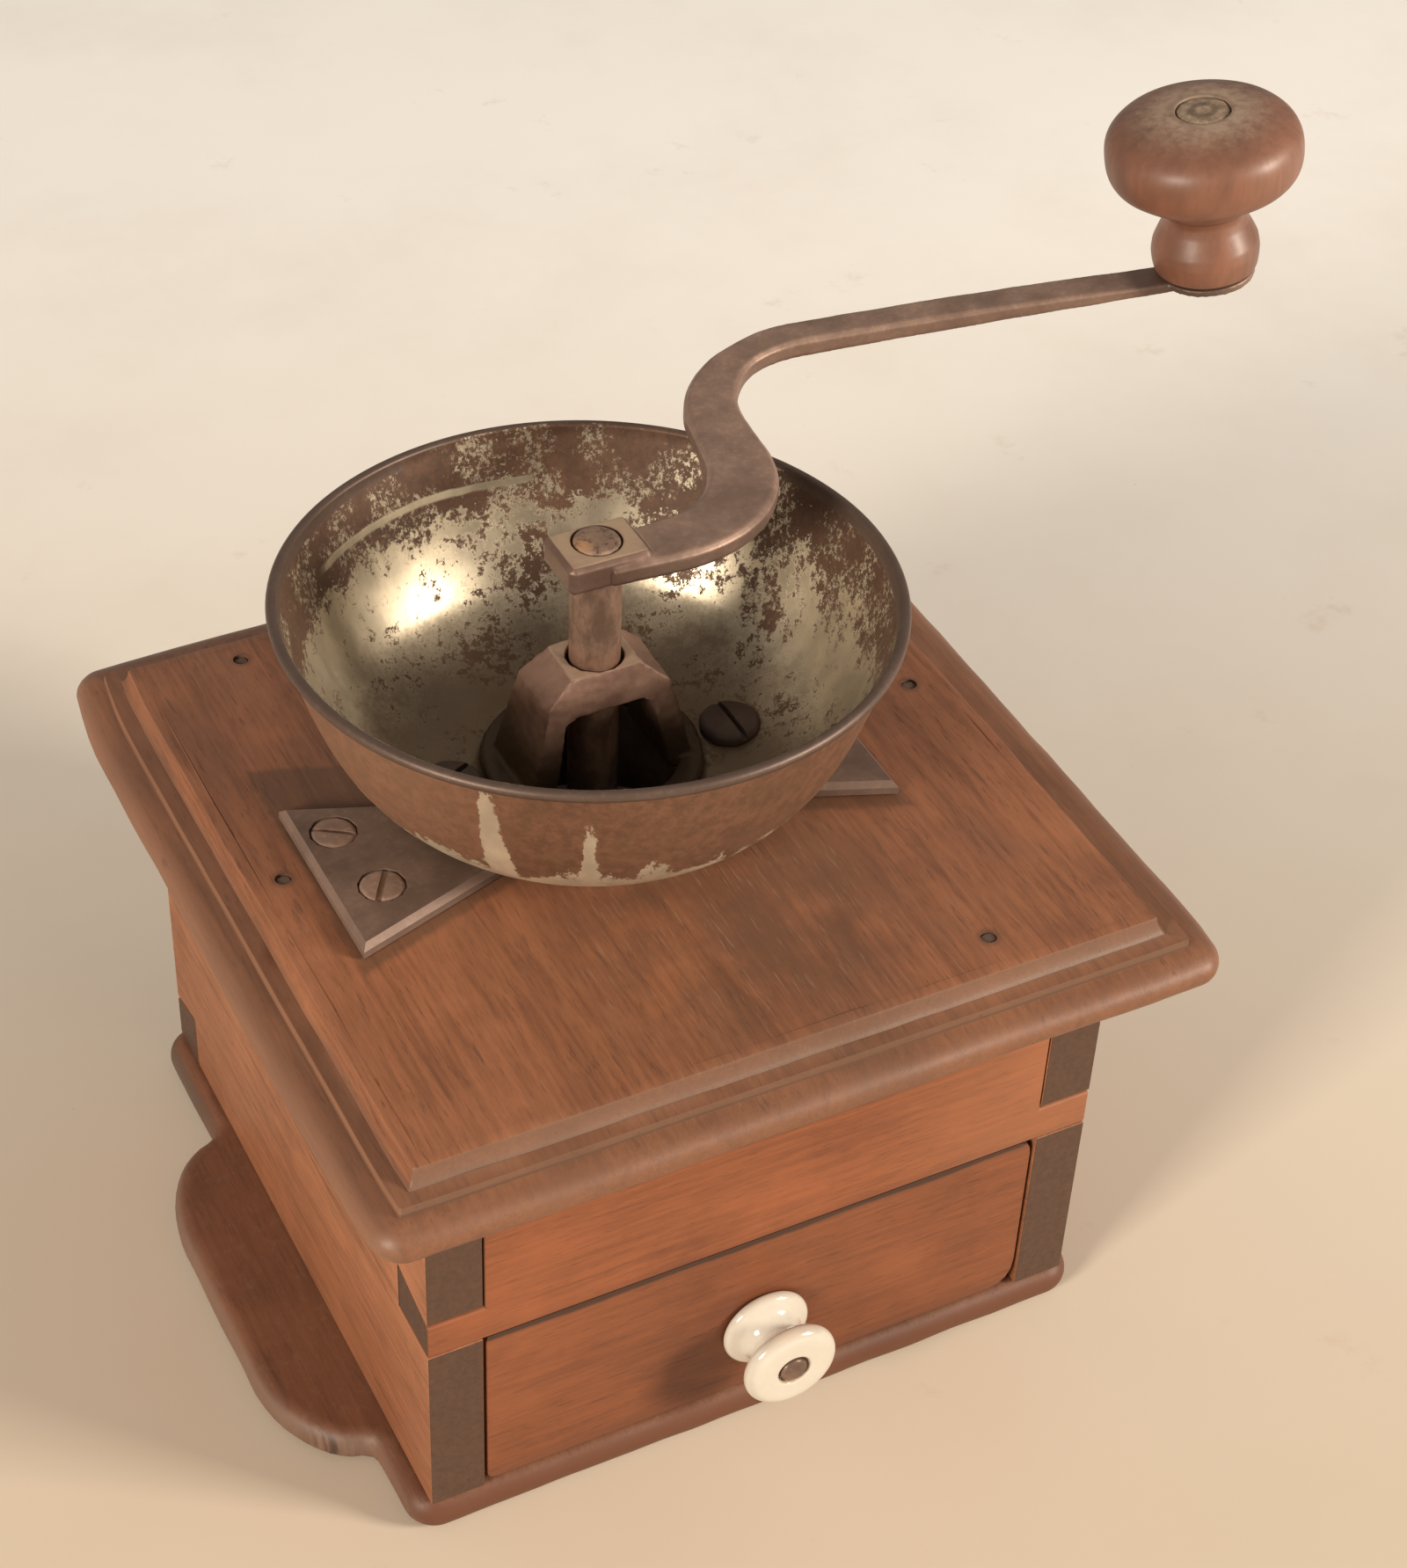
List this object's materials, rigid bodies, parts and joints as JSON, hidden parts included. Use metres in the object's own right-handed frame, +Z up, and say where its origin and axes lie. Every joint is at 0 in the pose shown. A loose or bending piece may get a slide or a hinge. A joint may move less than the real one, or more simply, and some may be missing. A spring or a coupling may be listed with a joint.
{
  "type": "box coffee grinder",
  "caption": "Wooden box coffee grinder: open metal hopper, arched bridge, S-curved crank with turned knob, moulded lid, winged base and a drawer with a porcelain knob.",
  "frame": {"origin": "middle of the wooden case, on the flat underside of the base board", "axes": "+X along the drawer front to the right, towards which the crank points; +Y to the back; +Z up along the mill's spindle"},
  "size_m": [0.2271, 0.1585, 0.1978],
  "materials": {
    "walnut": "worn oil finish, dark grain",
    "pale_walnut": "worn oil finish, orange brown",
    "poplar": "bare, planed",
    "turned_wood": "polished by hand",
    "cast_iron": "brown patina, satin",
    "forged_iron": "brown patina, satin",
    "tinned_iron": "worn tin over brown iron",
    "porcelain": "glossy glaze",
    "steel": "dull"
  },
  "bodies": {
    "case": {"base_board": "walnut", "left_side": "walnut", "right_side": "walnut", "front_rail": "pale_walnut", "back_board": "walnut", "lid_board": "walnut", "lid_nail_1": "forged_iron", "lid_nail_2": "forged_iron", "lid_nail_3": "forged_iron", "lid_nail_4": "forged_iron", "base_nail_1": "forged_iron", "base_nail_2": "forged_iron", "base_nail_3": "forged_iron", "base_nail_4": "forged_iron", "base_nail_5": "forged_iron", "base_nail_6": "forged_iron", "mounting_plate": "cast_iron", "plate_screw_1": "forged_iron", "plate_screw_2": "forged_iron", "plate_screw_3": "forged_iron", "plate_screw_4": "forged_iron", "hopper_bowl": "tinned_iron", "outer_burr": "cast_iron", "hopper_screw_1": "forged_iron", "hopper_screw_2": "forged_iron", "bridge": "cast_iron", "nut_stud": "forged_iron", "headed_stud": "forged_iron"},
    "toe_bar": {"toe_bar": "forged_iron"},
    "spindle": {"spindle": "forged_iron", "burr_pin": "forged_iron", "inner_burr": "cast_iron", "crank_arm": "forged_iron", "knob_pin": "forged_iron"},
    "knob": {"crank_knob": "turned_wood"},
    "wing_nut": {"adjusting_nut": "forged_iron"},
    "drawer": {"drawer_front": "pale_walnut", "drawer_left_side": "poplar", "drawer_right_side": "poplar", "drawer_back": "poplar", "drawer_bottom": "poplar", "drawer_nail_1": "forged_iron", "drawer_nail_2": "forged_iron", "drawer_nail_3": "forged_iron", "drawer_nail_4": "forged_iron", "drawer_knob": "porcelain", "knob_bolt": "steel", "knob_washer": "steel", "knob_nut": "steel"}
  },
  "joints": [
    {"name": "burr_lift", "type": "slide", "parent": "case", "child": "toe_bar", "axis": [0, 0, 1], "range_m": [-0.0005, 0.0005]},
    {"name": "crank_turn", "type": "hinge", "parent": "toe_bar", "child": "spindle", "pos_m": [-0.0036, 0.0024, 0.0578], "axis": [0, 0, 1], "continuous": true},
    {"name": "knob_turn", "type": "hinge", "parent": "spindle", "child": "knob", "pos_m": [0.12947, 0.02135, 0.1651], "axis": [-0.1401, 0.0697, 0.9877], "continuous": true},
    {"name": "adjuster_turn", "type": "hinge", "parent": "toe_bar", "child": "wing_nut", "pos_m": [-0.0036, -0.0231, 0.0517], "axis": [0, 0, 1], "range_deg": [-180, 180]},
    {"name": "drawer_slide", "type": "slide", "parent": "case", "child": "drawer", "axis": [0, -1, 0], "range_m": [0, 0.1]}
  ],
  "couplings": [
    {"joint": "adjuster_turn", "follows": "burr_lift", "rad_per_m": 6283}
  ]
}
